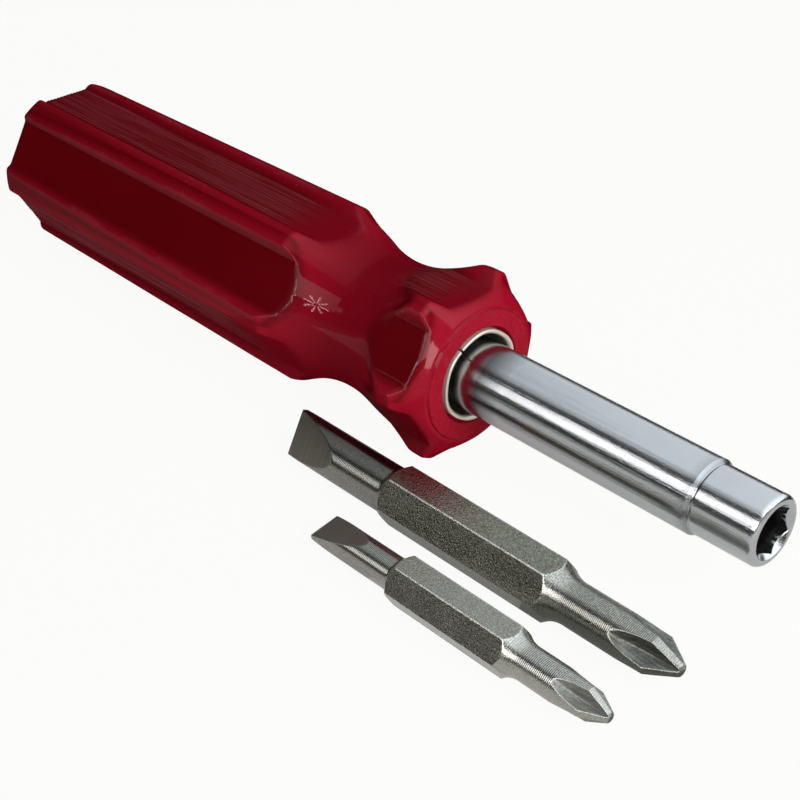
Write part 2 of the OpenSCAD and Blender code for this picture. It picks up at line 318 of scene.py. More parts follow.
class Graph:
    """Adds nodes to one tree."""

    def __init__(self, tree):
        self.tree = tree

    def node(self, kind, settings=None, sockets=None):
        """A node of any type, with its settings made first and then its sockets filled or linked."""
        made = self.tree.nodes.new(kind)
        for key, value in (settings or {}).items():
            setattr(made, key, value)
        for key, value in (sockets or {}).items():
            if isinstance(value, Expr):
                self.tree.links.new(value.socket, made.inputs[key])
            else:
                made.inputs[key].default_value = value
        return made

    def value(self, kind, settings=None, sockets=None, output=0):
        """One output of a new node."""
        return Expr(self, self.node(kind, settings, sockets).outputs[output])

    def math(self, operation, *values):
        """A Math node."""
        return self.value("ShaderNodeMath", {"operation": operation}, dict(enumerate(values)))

    def mix_colour(self, factor, first, second):
        """A colour between two others."""
        sockets = dict(zip(COLOUR_MIX_INPUTS, (factor, first, second)))
        return self.value("ShaderNodeMix", {"data_type": "RGBA"}, sockets, COLOUR_MIX_OUTPUT)


def rgba(triple):
    """A colour with full alpha."""
    return (*triple, 1.0)


def tint(triple, factor):
    """A colour made lighter or darker."""
    return (*(min(1.0, c * factor) for c in triple), 1.0)


# Turned and milled meshes

class Profile:
    """The rings of a turned piece, in order along its surface, with the fields that the milling reads."""

    NAMES = ("along", "turned", "milled", "inset", "share", "flat", "turn")

    def __init__(self):
        self.rows = []

    def ring(self, along, turned, milled=0.0, inset=0.0, share=1.0, flat=0.0, turn=0.0):
        """One ring."""
        self.rows.append((along, turned, milled, inset, share, flat, turn))

    def run(self, points, **fields):
        """Several rings through pairs of place and radius."""
        for along, turned in points:
            self.ring(along, turned, **fields)

    def columns(self):
        """The rows as named arrays."""
        return dict(zip(self.NAMES, np.array(self.rows, dtype=float).T))


def segment(start, end, steps):
    """Points from one to another, both ends included."""
    shares = np.linspace(0, 1, steps + 1)
    return [tuple(np.array(start) + (np.array(end) - np.array(start)) * s) for s in shares]


def arc(centre, radius, begin, end, steps):
    """Points of an arc in the half plane of place and radius, between two turns in degrees."""
    turns = np.radians(np.linspace(begin, end, steps + 1))
    return [(centre[0] + radius * math.cos(t), centre[1] + radius * math.sin(t)) for t in turns]


def soft_least(a, b, k):
    """The lesser of two values, rounded where they meet."""
    h = max(k - abs(a - b), 0.0) / k
    return min(a, b) - h * h * h * k / 6


def turned_mesh(name, profile, turns):
    """A closed mesh of rings and two poles, which carries the fields of its profile."""
    fields = profile.columns()
    rings, around = len(profile.rows), len(turns)
    spread = {
        key: np.concatenate([np.repeat(values, around), values[[0, -1]]])
        for key, values in fields.items()}
    spread["around"] = np.concatenate([np.tile(turns, rings), [0.0, 0.0]])
    for key in ("turned", "milled", "inset", "share"):
        spread[key][-2:] = 0.0
    radius, angles = spread["turned"], spread["around"]
    points = np.stack([spread["along"], radius * np.cos(angles), radius * np.sin(angles)], 1)
    grid = np.arange(rings * around).reshape(rings, around)
    beside = np.roll(grid, -1, axis=1)
    quads = np.stack([grid[:-1], beside[:-1], beside[1:], grid[1:]], 2).reshape(-1, 4)
    first, last = rings * around, rings * around + 1
    begin = np.stack([np.full(around, first), beside[0], grid[0]], 1)
    end = np.stack([np.full(around, last), grid[-1], beside[-1]], 1)
    mesh = bpy.data.meshes.new(name)
    mesh.from_pydata(points.tolist(), [], begin.tolist() + quads.tolist() + end.tolist())
    for key, values in spread.items():
        mesh.attributes.new(key, "FLOAT", "POINT").data.foreach_set("value", values.astype(np.float32))
    return mesh


def milling_tree(name, inputs, rule):
    """A Geometry Nodes tree that moves each point of a turned mesh to the radius that a rule gives."""
    tree = bpy.data.node_groups.new(name, "GeometryNodeTree")
    tree.interface.new_socket("Geometry", in_out="INPUT", socket_type="NodeSocketGeometry")
    for label in ("Axis Y", "Axis Z", *inputs):
        tree.interface.new_socket(label, in_out="INPUT", socket_type="NodeSocketFloat")
    tree.interface.new_socket("Material", in_out="INPUT", socket_type="NodeSocketMaterial")
    tree.interface.new_socket("Geometry", in_out="OUTPUT", socket_type="NodeSocketGeometry")
    graph = Graph(tree)
    entry = graph.node("NodeGroupInput")
    size = {label: Expr(graph, entry.outputs[label]) for label in ("Axis Y", "Axis Z", *inputs)}
    field = {
        label: graph.value("GeometryNodeInputNamedAttribute", {"data_type": "FLOAT"}, {"Name": label})
        for label in (*Profile.NAMES, "around")}
    radius, marks = rule(graph, size, field)
    place = graph.value("ShaderNodeCombineXYZ", sockets={
        "X": field["along"],
        "Y": size["Axis Y"] + radius * graph.math("COSINE", field["around"]),
        "Z": size["Axis Z"] + radius * graph.math("SINE", field["around"])})
    shape = Expr(graph, entry.outputs["Geometry"])
    for label, value in marks.items():
        shape = graph.value("GeometryNodeStoreNamedAttribute", {"data_type": "FLOAT", "domain": "POINT"},
                            {"Geometry": shape, "Name": label, "Value": value})
    shape = graph.value("GeometryNodeSetPosition", sockets={"Geometry": shape, "Position": place})
    shape = graph.value("GeometryNodeRealizeInstances", sockets={"Geometry": shape})
    shape = graph.value("GeometryNodeSetMaterial", sockets={
        "Geometry": shape, "Material": Expr(graph, entry.outputs["Material"])})
    graph.node("NodeGroupOutput", sockets={"Geometry": shape})
    return tree


def mill(name, mesh, tree, values):
    """Runs a milling tree on a turned mesh and keeps the result as a plain object."""
    blank = bpy.data.objects.new(name + "_blank", mesh)
    modifier = blank.modifiers.new("Milling", "NODES")
    modifier.node_group = tree
    for item in tree.interface.items_tree:
        if item.in_out == "INPUT" and item.name in values:
            modifier[item.identifier] = values[item.name]
    bpy.context.scene.collection.objects.link(blank)
    depsgraph = bpy.context.evaluated_depsgraph_get()
    made = bpy.data.meshes.new_from_object(blank.evaluated_get(depsgraph), depsgraph=depsgraph)
    bpy.data.objects.remove(blank)
    bpy.data.meshes.remove(mesh)
    return finished(name, made)


def finished(name, mesh):
    """Links a smooth-shaded object that holds a mesh."""
    mesh.name = name
    mesh.shade_smooth()
    made = bpy.data.objects.new(name, mesh)
    bpy.context.scene.collection.objects.link(made)
    if len(mesh.polygons) == 0:
        raise RuntimeError(name + " came out empty")
    return made


def seat(piece, node, body):
    """Sets a piece in the place of a CAD node."""
    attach(piece, body)
    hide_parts(node)


# Finishes

def new_finish(name):
    """An empty node material and its graph."""
    material = bpy.data.materials.new(name)
    material.use_nodes = True
    material.node_tree.nodes.clear()
    return material, Graph(material.node_tree)


def close_finish(graph, sockets):
    """Ends a material in one Principled shader."""
    shader = graph.value("ShaderNodeBsdfPrincipled", sockets=sockets)
    graph.node("ShaderNodeOutputMaterial", sockets={"Surface": shader})


def object_place(graph, scale=(1, 1, 1)):
    """Object coordinates, stretched."""
    place = graph.value("ShaderNodeTexCoord", output="Object")
    return graph.value("ShaderNodeMapping", sockets={"Vector": place, "Scale": scale})


def along_axis(graph):
    """Place along the tool, in the shared frame."""
    return graph.value("ShaderNodeSeparateXYZ", sockets={"Vector": object_place(graph)}, output="X")


def off_axis(graph):
    """Distance from the axis of the driver."""
    parts = graph.node("ShaderNodeSeparateXYZ", sockets={"Vector": object_place(graph)})
    aside = Expr(graph, parts.outputs["Y"]) - AXIS_Y
    above = Expr(graph, parts.outputs["Z"]) - AXIS_Z
    return graph.math("SQRT", aside * aside + above * above)


def noise(graph, scale, stretch=(1, 1, 1), detail=3.0, rough=0.5):
    """Noise on Object coordinates."""
    return graph.value("ShaderNodeTexNoise", {"noise_dimensions": "3D"}, {
        "Vector": object_place(graph, stretch), "Scale": scale, "Detail": detail, "Roughness": rough})


def spread_out(value, low, high):
    """A value stretched so that low becomes nought and high becomes one."""
    return ((value - low) / (high - low)).clamp()


def mark(graph, name):
    """A field that the milling left on the piece."""
    return graph.value(
        "ShaderNodeAttribute", {"attribute_name": name, "attribute_type": "GEOMETRY"}, output="Fac")


def bump(graph, height, strength, distance):
    """A bumped normal."""
    sockets = {"Strength": strength, "Distance": distance, "Height": height}
    return graph.value("ShaderNodeBump", sockets=sockets, output="Normal")


def red_plastic(look):
    """Glossy red moulding with flow streaks, rubbed crests, dust specks and lengthwise scratches, with
    painted shade on the flats' floors and the neck, a painted highlight on the crests and a painted sheen
    on the ribs and the nose face.
    """
    material, graph = new_finish("red_moulding")
    streak = noise(graph, 70, (0.35, 1, 1), 4)
    scratch = spread_out(noise(graph, 900, (0.05, 1, 1), 2), 0.62, 0.78)
    speck = spread_out(noise(graph, 1500, detail=2), 0.66, 0.74)
    patch = spread_out(noise(graph, 110, detail=3), 0.5, 0.68)
    crest = mark(graph, "crest")
    dust = spread_out(noise(graph, 4200, detail=1), 0.64, 0.74)
    bare = 1 - 0.85 * mark(graph, "floor")
    # On the crests the pale scuff colour is wear and also a painted highlight; the specks and dust are
    # real.
    rub = ((speck + 0.3 * dust) * patch * bare + crest * (0.35 * patch + 0.6 * dust)).clamp()
    facing = 1 - graph.value("ShaderNodeLayerWeight", sockets={"Blend": 0.5}, output="Facing")
    # The floor mark turns the floors of the flats and the neck deep red: painted shade, mixed with flow
    # streaks.
    flat = (mark(graph, "floor") * 0.85 + 0.3 * (streak - 0.5)).clamp()
    body = graph.mix_colour(flat, rgba(look.red), rgba(look.painted_shade_red))
    smear = spread_out(noise(graph, 1500, (0.03, 1, 1), 3), 0.40, 0.66)
    # The rubbed mark lays the pale colour on the ribs and the nose face: scuffs and a painted sheen.
    worked = graph.mix_colour(mark(graph, "rubbed") * (0.10 + 0.34 * smear), body, rgba(look.scuff_and_sheen))
    base = graph.mix_colour(rub * 0.6, worked, rgba(look.scuff_and_sheen))
    close_finish(graph, {
        "Base Color": base,
        "Roughness": 0.2 + 0.08 * streak + 0.25 * rub + 0.06 * scratch,
        "IOR": 1.49,
        "Specular IOR Level": 0.0,
        "Coat Weight": 0.36 * facing * facing * facing * (1 - 0.6 * rub),
        "Coat Roughness": 0.05,
        "Normal": bump(graph, scratch * 0.25 + speck * 0.3, 0.12, 0.1 * MM)})
    return material


def plating(name, tone, rough, ring_pitch, socket_and_shade_tone=None, shade_zone=None, bore_shade=None, metallic=1.0):
    """Frosted bright plating over draw marks and faint rings, rubbed and pitted.

    A shade zone is a place along the tool and its reach, where the plating is darkened as painted shade,
    and a bore shade darkens the inside between two radii as painted shade.
    """
    material, graph = new_finish(name)
    along = along_axis(graph)
    rings = graph.math("SINE", along * (2 * math.pi / ring_pitch))
    cloud = noise(graph, 160, detail=4)
    draw = noise(graph, 3200, (0.018, 1, 1), 3)
    frost = noise(graph, 5200, detail=2)
    rub = spread_out(noise(graph, 700, (0.06, 1, 1), 3), 0.55, 0.75)
    pit = spread_out(noise(graph, 1900, detail=1), 0.7, 0.76)
    base = graph.mix_colour(0.45 * cloud + 0.3 * rub, tint(tone, 1.10), tint(tone, 0.82))
    polish = rough + 0.05 * cloud + 0.08 * rub + 0.1 * pit
    # Painted shade along the zone.
    if shade_zone:
        middle, reach = shade_zone
        zone_shade = (1 - abs(along - middle) / reach).clamp()
        base = graph.mix_colour(zone_shade, base, tint(tone, 0.3))
        polish = polish + 0.07 * zone_shade
    # Painted shade inside the bore.
    if bore_shade:
        inside = spread_out(off_axis(graph), *bore_shade)
        base = graph.mix_colour((0.55 + 0.5 * cloud) * inside, base, tint(tone, 0.08))
    # The socket mark lays this dark steel in the sockets, and at the step as painted shade.
    if socket_and_shade_tone:
        bare = mark(graph, "socket")
        base = graph.mix_colour(bare, base, rgba(socket_and_shade_tone))
        polish = polish + 0.3 * bare
    height = rings * 0.03 + frost * 1.1 + draw * 1.2 + rub * 0.3 - pit * 0.15
    close_finish(graph, {
        "Base Color": base,
        "Metallic": metallic,
        "Roughness": polish,
        "Normal": bump(graph, height, 0.3, 0.05 * MM)})
    return material


BIT_RING_PITCH = 0.26 * MM


def bit_steel(look):
    """Hard steel: a granular hexagon, turned shanks, ground blades, scraped flutes and bright edges, with
    painted shade on the blades' shanks and a painted highlight on the upper edges.
    """
    material, graph = new_finish("bit_steel")
    skin, ground, fluted, corner, slotted = (
        mark(graph, name) for name in ("skin", "ground", "fluted", "corner", "slotted"))
    along = along_axis(graph)
    wander = noise(graph, 300, detail=2)
    rings = graph.math("SINE", along * (2 * math.pi / BIT_RING_PITCH) + wander * 4)
    grain = spread_out(noise(graph, 4200, detail=2, rough=0.6), 0.36, 0.64)
    sparkle = spread_out(noise(graph, 8000, detail=1), 0.60, 0.70)
    lay = noise(graph, 2600, (0.06, 1, 1), 3)
    cross_lay = noise(graph, 1500, (1, 0.07, 0.07), 3)
    cloud = noise(graph, 190, detail=4)
    turned = (1 - skin) * (1 - ground) * (1 - fluted)
    # The colour is laid on in turn: body, skin, painted shade on the blade's shank, ground faces, flutes
    # and worn edges with a painted highlight.
    body = graph.mix_colour(0.35 * cloud + 0.65 * grain, tint(look.steel, 0.6), tint(look.steel, 1.34))
    skinned = graph.mix_colour(grain, tint(look.rolled, 0.36), tint(look.rolled, 1.45))
    speckled = graph.mix_colour(sparkle * 0.7, skinned, tint(look.worn, 0.8))
    toned = graph.mix_colour(skin * (0.85 - 0.25 * cloud), body, speckled)
    # Painted shade: the blade's shank is darker, most of all on top.
    shank_shade = slotted * (0.2 + 0.8 * mark(graph, "top_shade"))
    toned = graph.mix_colour(shank_shade, toned, tint(look.steel, 0.2))
    crossed = spread_out(cross_lay, 0.35, 0.65)
    dull = graph.mix_colour(crossed, tint(look.ground, 0.92), tint(look.ground, 1.08))
    # Painted shade in part: the ground faces are darker.
    toned = graph.mix_colour(ground * 0.92, toned, dull)
    scored = spread_out(0.85 * lay + 0.15 * grain, 0.35, 0.65)
    scraped = graph.mix_colour(scored, tint(look.steel, 0.22), tint(look.steel, 0.7))
    toned = graph.mix_colour(fluted * 0.9, toned, scraped)
    toned = graph.mix_colour(mark(graph, "bright"), toned, rgba(look.worn))
    # The worn colour on the edges is wear and also a painted highlight.
    base = graph.mix_colour(corner * (0.35 + 0.6 * grain), toned, rgba(look.worn))
    rough = 0.14 + 0.06 * cloud + 0.01 * skin + 0.16 * ground + 0.26 * fluted - 0.05 * corner + 0.05 * lay
    plain = turned * (1 - slotted)
    height = turned * (rings * 0.14 + grain * 0.05) + plain * (rings * 0.3 + grain * 0.25)
    height = height + skin * grain * 0.42 + ground * (cross_lay * 0.3 + grain * 0.2)
    height = height + fluted * (lay * 1.6 + grain * 0.2)
    close_finish(graph, {
        "Base Color": base,
        "Metallic": 1.0,
        "Roughness": rough,
        "Normal": bump(graph, height, 0.6, 0.04 * MM)})
    return material


def spring_steel(look):
    """Drawn and tempered wire."""
    material, graph = new_finish("drawn_spring_steel")
    temper = noise(graph, 380, detail=4)
    draw = noise(graph, 2200, detail=2)
    base = graph.mix_colour(temper, tint(look.spring, 0.7), tint(look.spring, 1.1))
    close_finish(graph, {
        "Base Color": base,
        "Metallic": 1.0,
        "Roughness": 0.28 + 0.16 * temper + 0.06 * draw,
        "Normal": bump(graph, draw, 0.15, 0.04 * MM)})
    return material


# Handle

HANDLE_INPUTS = (
    "Butt X", "Length", "Smooth Butt", "Smooth Nose", "Ribbed Butt", "Ribbed Nose", "Half Floor", "Flank",
    "Ribs", "Rib Pitch", "Rib Width", "Rib Height", "Rib End", "Rib Fade", "Flare X",
    "Crest Round", "Flare Round", "Root Round")
FLOOR_BAND = 0.9 * MM
FACE_BAND = 0.5 * MM
FACE_INNER = 7.4 * MM
WEAR_SCALE = 420.0


def handle_rule(graph, size, field):
    """Radius of the handle: the turned form, cut by six drafted flats, every second one ribbed."""
    along, around, turned = field["along"], field["around"], field["turned"]
    fade, flare_x = size["Rib Fade"], size["Flare X"]
    turn = graph.math("WRAP", around - HEX_HALF, HEX_HALF, -HEX_HALF)
    ribbed = graph.math("FLOORED_MODULO", graph.math("FLOOR", around / LOBE_STEP), 2.0)
    drawn = (along - size["Butt X"]) / size["Length"]
    smooth = size["Smooth Butt"] + (size["Smooth Nose"] - size["Smooth Butt"]) * drawn
    valley = size["Ribbed Butt"] + (size["Ribbed Nose"] - size["Ribbed Butt"]) * drawn
    deep = smooth + (valley - smooth) * ribbed
    cosine = graph.math("COSINE", turn)
    sine = abs(graph.math("SINE", turn))
    across = deep * graph.math("TANGENT", turn)
    over_ribs = ribbed * (abs(across) < size["Ribs"] * size["Rib Pitch"] / 2)
    phase = graph.math("FRACT", across / size["Rib Pitch"] + size["Ribs"] / 2)
    off = abs(phase - 0.5) * 2 * size["Rib Pitch"] / size["Rib Width"]
    rib = graph.math("MAXIMUM", 1 - off * off, 0.0) * size["Rib Height"] * over_ribs
    # The ribs run out before the neck, and come back for a short way on the flare.
    run_out = ((size["Rib End"] - along) / fade).clamp()
    on_flare = ((along - flare_x) / (0.3 * fade)).clamp()
    flare_end = (1 - (along - flare_x - 0.7 * fade) / (0.5 * fade)).clamp()
    spot = graph.value("ShaderNodeCombineXYZ", sockets={"X": along, "Y": across, "Z": around * 0.01})
    wear = graph.value("ShaderNodeTexNoise", sockets={"Vector": spot, "Scale": WEAR_SCALE, "Detail": 2.0})
    rib = rib * (run_out + 0.6 * on_flare * flare_end).clamp() * (0.3 + 0.9 * wear)
    softer = (on_flare + 0.8 * ribbed * (1 - run_out)).clamp()
    crest_round = size["Crest Round"] + (size["Flare Round"] - size["Crest Round"]) * softer
    floor = (deep + rib) / cosine
    flank = (deep - size["Flank"] * size["Half Floor"]) / (cosine - size["Flank"] * sine)
    cut = graph.math("SMOOTH_MAX", floor, flank, size["Root Round"])
    milled = graph.math("SMOOTH_MIN", turned, cut, crest_round)
    radius = turned + (milled - turned) * field["milled"]
    # Marks for the finish: rubbed crests that also carry a painted highlight, painted shade (a deep red) on
    # the floors of the flats and on the neck, and scuffed ribs and nose face that also carry a painted
    # sheen.
    # Crest mark: rubbed wear and a painted highlight along the crests.
    crest = field["milled"] * (1 - abs(turned - cut) / (2 * size["Crest Round"])).clamp()
    # The neck is added to the floor mark: painted shade on the neck.
    neck = (1 - abs(along - flare_x + 0.4 * fade) / fade).clamp()
    bare_end = on_flare * (1 - flare_end) + (1 - on_flare) * (1 - run_out)
    # Painted shade on the floors of the flats, less where the ribbed flats end bare.
    floor_shade = (1 - abs(radius * cosine - deep) / FLOOR_BAND).clamp()
    floor_shade = (floor_shade * (1 - 0.75 * ribbed * bare_end) + 0.38 * neck).clamp()
    # The ribs and the nose face get the pale colour: scuffs and a painted sheen.
    cover = over_ribs * (run_out + on_flare * flare_end).clamp()
    on_face = (along > size["Butt X"] + size["Length"] - FACE_BAND) * (turned > FACE_INNER)
    scuffed = 0.5 + 0.5 * (rib / size["Rib Height"]).clamp()
    rubbed = field["milled"] * cover * scuffed + 0.2 * on_face
    return (radius - field["inset"]) * field["share"], {"crest": crest, "floor": floor_shade, "rubbed": rubbed}


def handle_turned(sizes):
    """The turned radius of the handle at a distance from the nose face."""
    centre = sizes.neck_radius + sizes.neck_sweep
    grip_l = sizes.length - sizes.bevel
    fall = (sizes.flare_radius - sizes.face_radius) / (sizes.bevel - sizes.face_step)

    def radius(along):
        drawn = (along + sizes.length) / grip_l
        cone = sizes.butt_radius + (sizes.flare_radius - sizes.butt_radius) * drawn
        off = along + sizes.neck_back
        if abs(off) < sizes.neck_sweep:
            hollow = centre - math.sqrt(sizes.neck_sweep ** 2 - off ** 2)
            cone = soft_least(cone, hollow, 0.6 * MM)
        bevel = sizes.face_radius - (along + sizes.face_step) * fall
        return soft_least(cone, bevel, 0.5 * MM)

    return radius


def handle_profile(sizes, ferrule, shaft):
    """Rings of the handle from the middle of its butt over the grip and the nose into its bores."""
    turned = handle_turned(sizes)
    profile = Profile()
    butt = -sizes.length
    dimple, dimple_deep = 2.2 * MM, 0.25 * MM
    profile.run([(butt + dimple_deep, dimple * s) for s in (0.4, 0.85)])
    profile.run([(butt + dimple_deep * 0.4, dimple), (butt, dimple * 1.12)])
    for part in (0.35, 0.55, 0.75, 0.9):
        profile.ring(butt, turned(butt), milled=1, inset=sizes.butt_round, share=part)
    for step in range(9):
        t = math.radians(90 - 11.25 * step)
        profile.ring(butt + sizes.butt_round * (1 - math.sin(t)), turned(butt), milled=1,
                     inset=sizes.butt_round * (1 - math.cos(t)))
    places = np.concatenate([
        np.linspace(butt + 2.5 * MM, -38 * MM, 12), np.arange(-36, -25.9, 0.25) * MM,
        np.arange(-25.4, -13.1, 0.6) * MM, np.arange(-12.9, -3.6, 0.28) * MM,
        np.linspace(-3.5 * MM, -sizes.face_step, 14)])
    for along in places:
        profile.ring(along, turned(along), milled=1)
    step, face = sizes.face_step, sizes.face_radius
    groove = 0.22 * MM
    profile.run([(-step - groove, face - 0.12 * MM), (-step - groove, face - 0.25 * MM)])
    profile.run(arc((-0.12 * MM, face - 0.45 * MM), 0.12 * MM, 90, 0, 4))
    profile.run(segment((0, face - 0.6 * MM), (0, ferrule.relief_radius + 0.3 * MM), 3))
    profile.run(arc((-0.2 * MM, ferrule.relief_radius + 0.2 * MM), 0.2 * MM, 0, -90, 4))
    bore, shoulder = shaft.radius + sizes.bore_play, SHAFT_REACH - shaft.length
    store, end = sizes.store_radius, shoulder - sizes.store_deep
    lip = ferrule.radius + 0.02 * MM
    profile.run([
        (-ferrule.relief_deep, ferrule.relief_radius), (-ferrule.relief_deep, lip), (-ferrule.length, lip),
        (-ferrule.length, bore), (shoulder / 2, bore), (shoulder, bore), (shoulder, store),
        (end, store), (end, store / 2)])
    return profile


def handle_turns(sizes):
    """Turns of the handle's columns: close together over the ribs, wider over the smooth flats."""
    middle = (sizes.ribbed_butt + sizes.ribbed_nose) / 2
    half = sizes.rib_count * sizes.rib_pitch / 2
    over_ribs = np.arctan(np.linspace(-half, half, 8 * sizes.rib_count + 1) / middle)
    beside = np.linspace(over_ribs[-1], HEX_HALF, 13)[1:-1]
    ribbed = np.concatenate([-beside[::-1], over_ribs, beside])
    inner = HEX_HALF * 0.55
    smooth = np.concatenate([
        np.linspace(-HEX_HALF, -inner, 15), np.linspace(-inner, inner, 19)[1:-1],
        np.linspace(inner, HEX_HALF, 15)])
    turns = []
    for lobe in range(6):
        turns.append((ribbed if lobe % 2 else smooth) + (lobe + 0.5) * LOBE_STEP)
    return np.concatenate(turns) % (2 * math.pi)


class DRIVER_OT_handle(bpy.types.Operator):
    """Build the fluted and ribbed handle"""

    bl_idname = "driver.handle"
    bl_label = "Handle"

    def execute(self, context):
        scene = context.scene
        sizes = scene.driver_handle
        profile = handle_profile(sizes, scene.driver_ferrule, scene.driver_shaft)
        profile.rows = [(row[0] + NOSE_X, *row[1:]) for row in profile.rows]
        turns = np.sort(handle_turns(sizes))
        mesh = turned_mesh("handle_blank", profile, turns)
        neck_x = NOSE_X - sizes.neck_back
        handle = mill("handle_moulding", mesh, milling_tree("Handle milling", HANDLE_INPUTS, handle_rule), {
            "Axis Y": AXIS_Y, "Axis Z": AXIS_Z, "Butt X": NOSE_X - sizes.length, "Length": sizes.length,
            "Smooth Butt": sizes.smooth_butt, "Smooth Nose": sizes.smooth_nose,
            "Ribbed Butt": sizes.ribbed_butt, "Ribbed Nose": sizes.ribbed_nose,
            "Half Floor": sizes.flat_width / 2, "Flank": math.tan(sizes.flank_slope),
            "Ribs": float(sizes.rib_count), "Rib Pitch": sizes.rib_pitch, "Rib Width": sizes.rib_width,
            "Rib Height": sizes.rib_height, "Rib End": neck_x - 14 * MM, "Rib Fade": sizes.rib_fade,
            "Flare X": neck_x + 4 * MM, "Crest Round": sizes.crest_round,
            "Flare Round": sizes.flare_round, "Root Round": sizes.root_round,
            "Material": red_plastic(scene.driver_finishes)})
        seat(handle, "handle", "handle")
        return {"FINISHED"}


# Ferrule

def ferrule_section(sizes, lip_radius):
    """Closed outline of the ferrule's sheet, as pairs of place and radius, at one turn."""
    rim, outer, inner, soft = sizes.proud, sizes.radius, sizes.radius - sizes.wall, sizes.rim_round
    mouth, deep = sizes.wall - soft, sizes.mouth_deep
    flare = np.linspace(0, QUARTER, 9)[1:]
    back, shelf = -sizes.length, sizes.wall - sizes.length
    return (segment((back, outer), (-sizes.relief_deep, outer), 2)
            + arc((rim - soft, outer - soft), soft, 90, 0, 5)
            + [(rim - deep * (1 - math.cos(t)), inner + mouth * (1 - math.sin(t))) for t in flare]
            + segment((rim - 1.2 * deep, inner), (shelf, inner), 4)
            + [(shelf, lip_radius), (back, lip_radius)])


class DRIVER_OT_ferrule(bpy.types.Operator):
    """Build the rolled and split ferrule"""

    bl_idname = "driver.ferrule"
    bl_label = "Ferrule"

    def execute(self, context):
        sizes = context.scene.driver_ferrule
        half_gap = sizes.split_width / 2 / sizes.radius
        steps = 180
        points, faces = [], []
        for column in range(steps + 1):
            turn = sizes.split_turn + half_gap + (2 * math.pi - 2 * half_gap) * column / steps
            side = min(abs(math.remainder(turn, math.pi)), math.pi)
            lip = sizes.radius - sizes.wall - 0.02 * MM if side < sizes.notch_half else sizes.lip_radius
            for along, radius in ferrule_section(sizes, lip):
                # The two edges of the split are torn, not straight.
                ragged = 0.0
                if column in (0, steps):
                    ragged = 0.012 * math.sin(along * 5200) + 0.008 * math.sin(along * 11900 + column)
                # The rolls left flattened places on the rim, which die out behind it.
                near_rim = min(1, max(0, 1 + along / (3 * MM)))
                bent = radius - sizes.dent * (0.5 + 0.5 * math.cos(6 * turn + 0.7)) * near_rim
                points.append((NOSE_X + along, AXIS_Y + bent * math.cos(turn + ragged),
                               AXIS_Z + bent * math.sin(turn + ragged)))
        width = len(points) // (steps + 1)
        for column in range(steps):
            for row in range(width):
                here, beyond = column * width + row, column * width + (row + 1) % width
                faces.append((here, here + width, beyond + width, beyond))
        faces.append(tuple(range(width)))
        faces.append(tuple(reversed(range(steps * width, (steps + 1) * width))))
        mesh = bpy.data.meshes.new("ferrule_sheet")
        mesh.from_pydata(points, [], faces)
        ferrule = finished("ferrule_sleeve", mesh)
        mesh.set_sharp_from_angle(angle=math.radians(50))
        # The inside of the ferrule's mouth is darkened: painted shade.
        mesh.materials.append(plating(
            "nickel_plate", context.scene.driver_finishes.nickel, 0.32, 0.52 * MM,
            bore_shade=(6.62 * MM, 6.36 * MM), metallic=0.6))
        seat(ferrule, "ferrule", "handle")
        return {"FINISHED"}


# Shaft

SHAFT_INPUTS = ("Corner Round",)


def shaft_rule(graph, size, field):
    """Radius of the shaft: turned outside and in its bores, six-sided in its sockets."""
    turn = graph.math("WRAP", field["around"] - field["turn"], HEX_HALF, -HEX_HALF)
    side = field["flat"] / graph.math("COSINE", turn)
    socket = graph.math("SMOOTH_MAX", field["turned"], side, size["Corner Round"])
    radius = field["turned"] + (socket - field["turned"]) * field["milled"]
    # The inset field marks the bare sockets and the painted shade at the step.
    return radius * field["share"], {"socket": field["inset"]}


def socket_rings(profile, mouth_x, outward, sizes, flat, deep, bore, bore_deep, groove, turn):
    """Rings of a socket from its floor out to its mouth, or in again when they are reversed."""
    rows = Profile()
    hexagon = dict(milled=1.0, flat=flat, turn=turn, inset=1.0)

    def at(depth):
        return mouth_x - outward * depth

    rows.run([(at(bore_deep), bore * 0.5), (at(bore_deep), bore), (at(deep), bore)], inset=1.0)
    inside, outside = sizes.groove_deep + sizes.groove_half, sizes.groove_deep - sizes.groove_half
    rows.run([(at(deep), bore)], **hexagon)
    rows.run(segment((at(deep - 0.1 * MM), flat * 0.9), (at(inside), flat * 0.9), 3), **hexagon)
    rows.run([(at(inside), groove), (at(outside), groove)], inset=1.0)
    rows.run([(at(outside), flat * 0.9), (at(outside * 0.6), flat * 0.9)], **hexagon)
    hexagon["inset"] = 0.0
    shares = np.linspace(0.02, 1, 9)
    rows.run([(at(sizes.mouth * (1 - s)), flat + sizes.mouth * s) for s in shares], **hexagon)
    profile.rows += rows.rows if outward < 0 else rows.rows[::-1]


